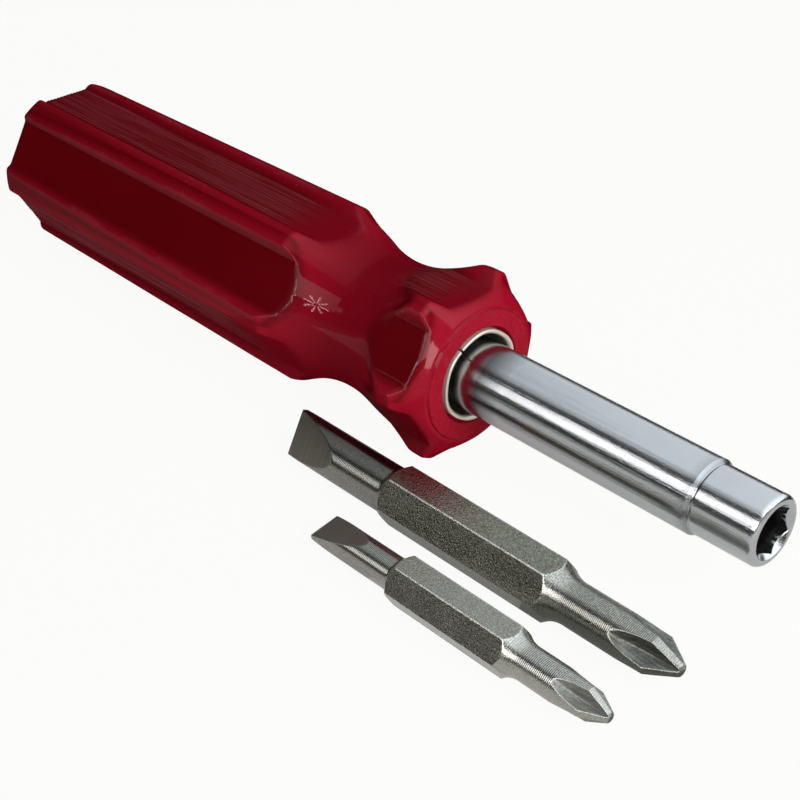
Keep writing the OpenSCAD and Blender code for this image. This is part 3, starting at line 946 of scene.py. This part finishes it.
class DRIVER_OT_shaft(bpy.types.Operator):
    """Build the reversible shaft with its two hexagon sockets"""

    bl_idname = "driver.shaft"
    bl_label = "Shaft"

    def execute(self, context):
        sizes, look = context.scene.driver_shaft, context.scene.driver_finishes
        tip_x, inner_x = SHAFT_BOX[1].x, SHAFT_BOX[0].x
        step_x, fall = tip_x - sizes.tip_length, sizes.radius - sizes.tip_radius
        profile = Profile()
        socket_rings(profile, inner_x, -1, sizes, sizes.inner_flat, sizes.inner_socket, sizes.inner_bore,
                     sizes.inner_bore_deep, sizes.inner_groove, HEX_HALF)
        profile.run([(inner_x, sizes.radius - sizes.chamfer), (inner_x + sizes.chamfer, sizes.radius)])
        profile.run(segment((inner_x + 1 * MM, sizes.radius), (step_x - 2 * MM, sizes.radius), 12))
        # The step is marked a little like a socket, so that its plating comes out darker: painted shade at
        # the step.
        soft, tip, rounded = 0.06 * MM, sizes.tip_radius, sizes.tip_round
        profile.run(arc((step_x - fall - soft, sizes.radius - soft), soft, 90, 48, 4), inset=0.25)
        profile.run(arc((step_x + soft, tip + soft), soft, 222, 270, 4), inset=0.45)
        relief, wide, root = 0.07 * MM, 0.1 * MM, step_x + soft
        profile.run([(root + wide, tip - relief), (root + 2 * wide, tip - relief), (root + 3 * wide, tip)])
        profile.run(segment((step_x + 0.6 * MM, tip), (tip_x - rounded - 0.2 * MM, tip), 4))
        profile.run(arc((tip_x - rounded, tip - rounded), rounded, 90, 0, 12))
        socket_rings(profile, tip_x, 1, sizes, sizes.tip_flat, sizes.tip_socket, sizes.tip_bore,
                     sizes.tip_bore_deep, sizes.tip_groove, sizes.tip_turn)
        turns = np.linspace(0, 2 * math.pi, 288, endpoint=False)
        # Painted shade on the chrome just in front of the nose.
        shade_zone = (NOSE_X + 4 * MM, 4.5 * MM)
        chrome = plating("chrome_plate", look.chrome, 0.08, 0.31 * MM, look.socket, shade_zone)
        mesh = turned_mesh("shaft_blank", profile, turns)
        shaft = mill("shaft_barrel", mesh, milling_tree("Shaft broaching", SHAFT_INPUTS, shaft_rule), {
            "Axis Y": AXIS_Y, "Axis Z": AXIS_Z, "Corner Round": 0.08 * MM, "Material": chrome})
        shaft.data.set_sharp_from_angle(angle=math.radians(40))
        seat(shaft, "shaft", "shaft")
        return {"FINISHED"}


class DRIVER_OT_wires(bpy.types.Operator):
    """Finish the cross pin and the two retaining rings"""

    bl_idname = "driver.wires"
    bl_label = "Pin and rings"

    def execute(self, context):
        material = spring_steel(context.scene.driver_finishes)
        for name in ("drive_pin", "tip_retainer", "inner_retainer"):
            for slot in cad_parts[name].material_slots:
                slot.material = material
        return {"FINISHED"}


# Bits

BIT_INPUTS = (
    "Half Flat", "Blade X", "Half Edge", "Blade Rise", "Blade Turn", "Flute X", "Flute Length",
    "Flute Radius", "Flute Depth", "Flute Turn", "Flute Spread", "Edge Round", "Hex X", "Bright")
MARK_SOFT = 0.06 * MM
EDGE_BAND = 0.1 * MM
RIDGE_TURN = math.radians(28.6)
RIDGE_SOFT = math.radians(1)


def bit_rule(graph, size, field):
    """Radius of a bit: the turned form, six flats, two ground faces and four flutes."""
    turn = graph.math("WRAP", field["around"] - HEX_HALF, HEX_HALF, -HEX_HALF)
    hexagon = size["Half Flat"] / graph.math("COSINE", turn)
    lean = graph.math("WRAP", field["around"] - size["Blade Turn"], QUARTER, -QUARTER)
    thick = size["Half Edge"] + (field["along"] - size["Blade X"]) * size["Blade Rise"]
    blade = thick / graph.math("MAXIMUM", graph.math("COSINE", lean), 0.02)
    spin = graph.math("WRAP", field["around"] - size["Flute Turn"], QUARTER / 2, -QUARTER / 2)
    sine = graph.math("SINE", spin)
    run = graph.math("MINIMUM", (field["along"] - size["Flute X"]) / size["Flute Length"], 1.0)
    bowl = 0.03 + 0.3 * (1 - 1.4 * run).clamp()
    crease = graph.math("SQRT", sine * sine + bowl * bowl) - bowl
    eased = 1 - (1 - run) * (1 - run)
    root = size["Flute Radius"] - size["Flute Depth"] * eased
    flute = root / graph.math("MAXIMUM", graph.math("COSINE", spin) - crease / size["Flute Spread"], 0.02)
    flute = flute + 0.02 * (run < 0)
    soft = size["Edge Round"]
    shank = graph.math("SMOOTH_MIN", field["turned"], hexagon, soft)
    cut = graph.math("SMOOTH_MIN", shank, blade, soft)
    radius = graph.math("SMOOTH_MIN", cut, flute, soft)
    # Marks for the finish. The edges are worn bright, with a painted highlight on the upper hexagon edges,
    # and the blade's shank is darker on top as painted shade.
    skin = ((field["turned"] - hexagon) / MARK_SOFT + 0.5).clamp()
    ground = ((shank - blade) / MARK_SOFT + 0.5).clamp()
    fluted = ((shank - flute) / MARK_SOFT + 0.5).clamp()
    worn = (1 - abs(shank - flute) / EDGE_BAND).clamp()
    worn = worn + 0.25 * (1 - abs(shank - blade) / EDGE_BAND).clamp()
    # Painted highlight: only the upper hexagon edges are made bright.
    lit_top = (2 * graph.math("SINE", field["around"])).clamp()
    ridge_highlight = ((abs(turn) - RIDGE_TURN) / RIDGE_SOFT).clamp() * skin * lit_top
    rim = (1 - abs(field["turned"] - hexagon) / EDGE_BAND).clamp() * 0.6
    # Painted shade on top of the blade's shank, none on a bright bit.
    top_shade = (graph.math("COSINE", field["around"] - LOBE_STEP) - 0.2).clamp() * (1 - 4 * size["Bright"])
    return radius * field["share"], {
        "skin": skin, "ground": ground, "fluted": fluted, "corner": (worn + ridge_highlight + rim).clamp(),
        "slotted": field["along"] < size["Hex X"], "bright": size["Bright"], "top_shade": top_shade}


def bit_profile(sizes, start):
    """Rings of a bit from the blade's edge to the point."""
    corner = sizes.half_flat / math.cos(HEX_HALF)
    collar = sizes.collar_share * sizes.half_flat
    hex_end = sizes.blade + sizes.hexagon
    tip = hex_end + sizes.cross
    bell = sizes.bell_share * sizes.half_flat
    drop = corner - sizes.cross_radius
    bell_radius = (bell ** 2 + drop ** 2) / (2 * drop)
    sweep = math.degrees(math.asin(bell / bell_radius))
    point = sizes.point_share * sizes.cross_radius
    fillet = 0.7 * MM
    blade, cross = sizes.blade_radius, sizes.cross_radius
    rise = collar - blade
    points = [(0, blade * s) for s in (0.15, 0.3, 0.5, 0.7, 0.85, 0.95)]
    points += segment((0, blade), (sizes.grind * 1.12, blade), 64)
    points += segment((sizes.grind * 1.12 + 0.4 * MM, blade), (sizes.blade - fillet - 0.2 * MM, blade), 8)
    points += [(sizes.blade - fillet + fillet * math.sin(t), blade + rise * (1 - math.cos(t)))
               for t in np.linspace(0.0, QUARTER, 7)]
    shoulder = sizes.blade + corner - collar
    points += segment((sizes.blade + 0.04 * MM, collar + 0.03 * MM), (shoulder, corner), 12)
    points += segment((shoulder + 0.3 * MM, corner), (hex_end - 0.3 * MM, corner), 6)
    points += [(hex_end + bell + bell_radius * math.cos(t), cross + bell_radius + bell_radius * math.sin(t))
               for t in np.radians(np.linspace(270 - sweep, 270, 22))]
    flute_x = tip - sizes.flute
    points += segment((hex_end + bell + 0.3 * MM, cross), (flute_x - 0.3 * MM, cross), 5)
    points += segment((flute_x - 0.1 * MM, cross), (tip - sizes.cone, cross), 40)
    step = 0.1 * MM
    fall = (cross - point) * step / (sizes.cone - point / 2)
    points += segment((tip - sizes.cone + step, cross - fall), (tip - point / 2, point), 26)
    points += [(tip - point / 2 * (1 - s) ** 1.4, point * (1 - s ** 1.8))
               for s in (0.2, 0.4, 0.6, 0.8, 0.93)]
    profile = Profile()
    profile.run([(start + along, radius) for along, radius in points])
    return profile


class DRIVER_OT_bits(bpy.types.Operator):
    """Build the two double-ended bits"""

    bl_idname = "driver.bits"
    bl_label = "Bits"

    def execute(self, context):
        scene = context.scene
        tree = milling_tree("Bit milling", BIT_INPUTS, bit_rule)
        material = bit_steel(scene.driver_finishes)
        for node, sizes, box in (("large_bit", scene.driver_large_bit, LARGE_BOX),
                                 ("small_bit", scene.driver_small_bit, SMALL_BOX)):
            start = box[0].x
            tip = sizes.blade + sizes.hexagon + sizes.cross
            turns = np.linspace(0, 2 * math.pi, 420, endpoint=False)
            mesh = turned_mesh(node + "_blank", bit_profile(sizes, start), turns)
            bit = mill(node + "_steel", mesh, tree, {
                "Axis Y": (box[0].y + box[1].y) / 2, "Axis Z": sizes.half_flat,
                "Half Flat": sizes.half_flat, "Hex X": start + sizes.blade,
                "Blade X": start, "Half Edge": sizes.edge / 2,
                "Blade Rise": (sizes.blade_radius - sizes.edge / 2) / sizes.grind,
                "Blade Turn": sizes.blade_turn + QUARTER, "Flute X": start + tip - sizes.flute,
                "Flute Length": sizes.flute, "Flute Radius": sizes.cross_radius,
                "Flute Depth": (1 - sizes.core_share) * sizes.cross_radius,
                "Flute Turn": sizes.cross_turn, "Flute Spread": math.tan(sizes.flute_half),
                "Edge Round": sizes.edge_round, "Bright": sizes.bright, "Material": material})
            seat(bit, node, node)
        return {"FINISHED"}


# Stage

def seen_share(graph):
    """How white the background shows: in full to the camera and through glass, and in part in gloss."""
    ray = graph.node("ShaderNodeLightPath")
    names = ("Is Camera Ray", "Is Glossy Ray", "Is Transmission Ray")
    camera, gloss, through = (Expr(graph, ray.outputs[name]) for name in names)
    return graph.math("MAXIMUM", graph.math("MAXIMUM", camera, through), 0.2 * gloss)


def floor_finish(look):
    """Pale floor that shows as white and keeps a faint shadow."""
    material, graph = new_finish("pale_floor")
    seen = seen_share(graph)
    matt = graph.value("ShaderNodeBsdfDiffuse", sockets={"Color": tint(look.floor, 0.9)})
    glow = graph.value("ShaderNodeEmission", sockets={"Color": rgba(look.floor), "Strength": 1.0})
    mixed = graph.value("ShaderNodeMixShader", sockets={0: seen * 0.94, 1: matt, 2: glow})
    graph.node("ShaderNodeOutputMaterial", sockets={"Surface": mixed})
    return material


NEAR_SPAN = (-0.85, 2.2)
LEFT_SPAN = (-1.05, -0.86)
FAR_SPAN = (-6.0, -1.06)
NEAR_RISE = 0.7

# Cards along the tool: name, first and last turn in degrees, level, span along X and rise along X.
LONG_CARDS = (
    ("rear_low_card", 0.5, 6, (0.04, 0.04, 0.04), NEAR_SPAN, NEAR_RISE),
    ("back_card", 7, 105, (0.76, 0.82, 0.86), NEAR_SPAN, NEAR_RISE),
    ("back_edge_card", 105, 116, (0.50, 0.53, 0.55), NEAR_SPAN, NEAR_RISE),
    ("dark_card", 117, 134, (0.07, 0.07, 0.07), NEAR_SPAN, NEAR_RISE),
    ("strip_card", 135, 159, (1.85, 1.85, 1.85), NEAR_SPAN, NEAR_RISE),
    ("low_card", 161, 179.5, (0.05, 0.05, 0.045), NEAR_SPAN, NEAR_RISE),
    ("left_back_card", 44, 120, (0.20, 0.19, 0.18), LEFT_SPAN, 0.0),
    ("left_dark_card", 121, 148, (0.03, 0.03, 0.03), LEFT_SPAN, 0.0),
    ("left_strip_card", 149, 156, (2.4, 2.4, 2.3), LEFT_SPAN, 0.0),
    ("left_low_card", 158, 179.5, (0.04, 0.04, 0.036), LEFT_SPAN, 0.0),
    ("far_dark_card", 96, 179.5, (0.03, 0.03, 0.03), FAR_SPAN, 0.0),
)

SMALL_Y = (SMALL_BOX[0].y + SMALL_BOX[1].y) / 2
HEX_BEGIN = LARGE_BOX[0].x + 0.018
HEX_END = LARGE_BOX[0].x + 0.047
BITS_END = 0.09
DRIVER_SIDE = -0.003

# Cards just above the floor: name, two corners, height and level. They lay painted shadow and painted light
# on the floor round the tool, seen only in gloss.
FLOOR_CARDS = (
    ("rear_floor_card", (-1.5, 0.06), (2.2, 0.5), 0.0005, (0.05, 0.05, 0.05)),
    ("large_hexagon_card", (HEX_BEGIN, SMALL_Y), (HEX_END, DRIVER_SIDE), 0.0004, (0.37, 0.37, 0.35)),
    ("large_cross_card", (HEX_END, SMALL_Y), (BITS_END, DRIVER_SIDE), 0.0004, (0.21, 0.21, 0.20)),
    ("small_bit_card", (SMALL_BOX[0].x + 0.010, -0.032), (BITS_END, SMALL_Y), 0.0004, (0.68, 0.68, 0.66)),
)

# Cards that show in the gloss of the handle only.
BENCH_CARD = ("bench_card", (-0.2, -0.09), (-0.03, -0.004), 0.0003, (2.8, 2.3, 2.4))
FRONT_POINTS = ((0.95, -0.46, 0.01), (0.95, -0.22, 0.01), (0.95, -0.22, 0.36), (0.95, -0.46, 0.36))
FRONT_LEVEL = (11.0, 9.5, 9.5)
PETAL_CENTRE = (-0.298, -0.80, 0.303)
PETAL_TARGET = (0.0014, 0.0004, 0.0191)
PETAL_RADIUS = 0.17
PETAL_LEVEL = (26.0, 22.0, 22.0)

FLOOR_HALF = 3.0
KEY_WAY = (0.88, -0.10, 0.42)
KEY_DISTANCE = 0.8
KEY_SIZE = 0.6
EYE_PLACE = (0.16189, -0.13539, 0.13791)
EYE_TILT = math.radians(57.116)
EYE_TURN = math.radians(46.436)


def card_finish(name, level, rise=0.0):
    """Light of a card, which may grow along X."""
    material, graph = new_finish(name)
    strength = 1.0
    if rise:
        strength = 1 + rise * (along_axis(graph) - NEAR_SPAN[0])
    glow = graph.value("ShaderNodeEmission", sockets={"Color": rgba(level), "Strength": strength})
    graph.node("ShaderNodeOutputMaterial", sockets={"Surface": glow})
    return material


def gloss_card(name, points, faces, finish):
    """A card that shows in gloss only."""
    mesh = bpy.data.meshes.new(name)
    mesh.from_pydata(points, [], faces)
    mesh.materials.append(finish)
    card = bpy.data.objects.new(name, mesh)
    bpy.context.scene.collection.objects.link(card)
    card.visible_camera = card.visible_diffuse = card.visible_shadow = card.visible_transmission = False
    return card


def flat_card(name, begin, end, height, level):
    """A card that lies just above the floor between two corners."""
    places = (begin, (end[0], begin[1]), end, (begin[0], end[1]))
    points = [(x, y, height) for x, y in places]
    return gloss_card(name, points, [(0, 1, 2, 3)], card_finish(name, level))


def long_card(name, begin, end, level, span, rise):
    """A card parallel to the tool, between two turns round X from +Y in degrees."""
    turns = np.radians(np.linspace(begin, end, 13))
    points = [(x, CARD_RADIUS * math.cos(t), CARD_RADIUS * math.sin(t)) for t in turns for x in span]
    faces = [(2 * i, 2 * i + 1, 2 * i + 3, 2 * i + 2) for i in range(len(turns) - 1)]
    gloss_card(name, points, faces, card_finish(name, level, rise))


def petal_points(centre, target, radius):
    """Corners and faces of eight narrow petals on a disc that faces a target."""
    way = (Vector(target) - Vector(centre)).normalized()
    side = way.cross(Vector((0, 0, 1))).normalized()
    up = side.cross(way)
    points, faces = [], []
    for petal in range(8):
        turn = math.radians(45 * petal + 12)
        out = side * math.cos(turn) + up * math.sin(turn)
        beside = side * -math.sin(turn) + up * math.cos(turn)
        faces.append(tuple(range(len(points), len(points) + 4)))
        for reach, sign in ((0.2, -1), (1.0, -1), (1.0, 1), (0.2, 1)):
            wide = 0.035 + 0.04 * reach
            points.append(Vector(centre) + (out * reach + beside * wide * sign) * radius)
    return points, faces


def set_floor(scene, look):
    """Lays the pale floor."""
    half = FLOOR_HALF
    corners = [(-half, -half, 0), (half, -half, 0), (half, half, 0), (-half, half, 0)]
    mesh = bpy.data.meshes.new("floor")
    mesh.from_pydata(corners, [], [(0, 1, 2, 3)])
    mesh.materials.append(floor_finish(look))
    floor = bpy.data.objects.new("floor", mesh)
    scene.collection.objects.link(floor)


def set_world(scene, look):
    """Sets the studio round the floor: pale at the horizon, darker above, white to the camera."""
    world = bpy.data.worlds.new("studio")
    world.use_nodes = True
    world.node_tree.nodes.clear()
    graph = Graph(world.node_tree)
    way = graph.value("ShaderNodeTexCoord", output="Generated")
    rise = graph.value("ShaderNodeSeparateXYZ", sockets={"Vector": way}, output="Z")
    horizon = 1 - spread_out(rise, 0.02, 0.2)
    studio = look.fill + horizon * (1 - look.fill)
    sky = graph.value("ShaderNodeBackground", sockets={
        "Color": rgba(look.floor), "Strength": graph.math("MAXIMUM", studio, seen_share(graph))})
    graph.node("ShaderNodeOutputWorld", sockets={"Surface": sky})
    scene.world = world


def set_key(scene, look):
    """Hangs the soft key light and turns it to the set."""
    lamp = bpy.data.lights.new("key", "AREA")
    lamp.shape = "SQUARE"
    lamp.size = KEY_SIZE
    lamp.energy = look.key_power
    key = bpy.data.objects.new("key", lamp)
    key.visible_camera = key.visible_glossy = False
    scene.collection.objects.link(key)
    way = Vector(KEY_WAY).normalized()
    key.location = way * KEY_DISTANCE
    key.rotation_euler = way.to_track_quat("Z", "Y").to_euler()


def set_cards():
    """Hangs the cards that the gloss reflects."""
    for card in LONG_CARDS:
        long_card(*card)
    for card in FLOOR_CARDS:
        flat_card(*card)
    only_handle = bpy.data.collections.new("glint_receivers")
    only_handle.objects.link(bpy.data.objects["handle_moulding"])
    points, faces = petal_points(PETAL_CENTRE, PETAL_TARGET, PETAL_RADIUS)
    petals = gloss_card("petal_card", points, faces, card_finish("petal_card", PETAL_LEVEL))
    window = gloss_card("front_card", FRONT_POINTS, [(0, 1, 2, 3)], card_finish("front_card", FRONT_LEVEL))
    bench = flat_card(*BENCH_CARD)
    for card in (petals, window, bench):
        card.light_linking.receiver_collection = only_handle


def set_camera(scene, look):
    """Puts the camera at the photograph's place."""
    camera = bpy.data.cameras.new("camera")
    camera.lens = look.focal
    camera.sensor_width = 36
    camera.clip_start = 0.01
    eye = bpy.data.objects.new("camera", camera)
    eye.location = EYE_PLACE
    eye.rotation_euler = (EYE_TILT, 0, EYE_TURN)
    scene.collection.objects.link(eye)
    scene.camera = eye


class DRIVER_OT_stage(bpy.types.Operator):
    """Set the floor, the light and the camera"""

    bl_idname = "driver.stage"
    bl_label = "Stage"

    def execute(self, context):
        scene, look = context.scene, context.scene.driver_stage
        scene.view_settings.view_transform = "Standard"
        set_floor(scene, look)
        set_world(scene, look)
        set_key(scene, look)
        set_cards()
        set_camera(scene, look)
        return {"FINISHED"}


# Panel and run

OPERATORS = (
    DRIVER_OT_handle, DRIVER_OT_ferrule, DRIVER_OT_shaft, DRIVER_OT_wires, DRIVER_OT_bits, DRIVER_OT_stage)


class DRIVER_PT_panel(bpy.types.Panel):
    """Lists the pieces of the screwdriver and their sizes"""

    bl_idname = "DRIVER_PT_panel"
    bl_label = "Screwdriver"
    bl_space_type = "VIEW_3D"
    bl_region_type = "UI"
    bl_category = "Screwdriver"

    def draw(self, context):
        for operator in OPERATORS:
            self.layout.operator(operator.bl_idname)
        for name, group in SETTINGS.items():
            box = self.layout.box()
            box.label(text=group.__doc__)
            settings = getattr(context.scene, name)
            for key in group.__annotations__:
                box.prop(settings, key)


def register():
    """Registers the settings, the operators and the panel."""
    for name, group in SETTINGS.items():
        bpy.utils.register_class(group)
        setattr(bpy.types.Scene, name, bpy.props.PointerProperty(type=group))
    for item in (*OPERATORS, DRIVER_PT_panel):
        bpy.utils.register_class(item)


def unregister():
    """Takes everything that register added away again."""
    for item in (DRIVER_PT_panel, *reversed(OPERATORS)):
        bpy.utils.unregister_class(item)
    for name, group in reversed(SETTINGS.items()):
        delattr(bpy.types.Scene, name)
        bpy.utils.unregister_class(group)


def main():
    """Builds the set."""
    register()
    bpy.ops.driver.handle()
    bpy.ops.driver.ferrule()
    bpy.ops.driver.shaft()
    bpy.ops.driver.wires()
    bpy.ops.driver.bits()
    bpy.ops.driver.stage()


if __name__ == "__main__":
    main()
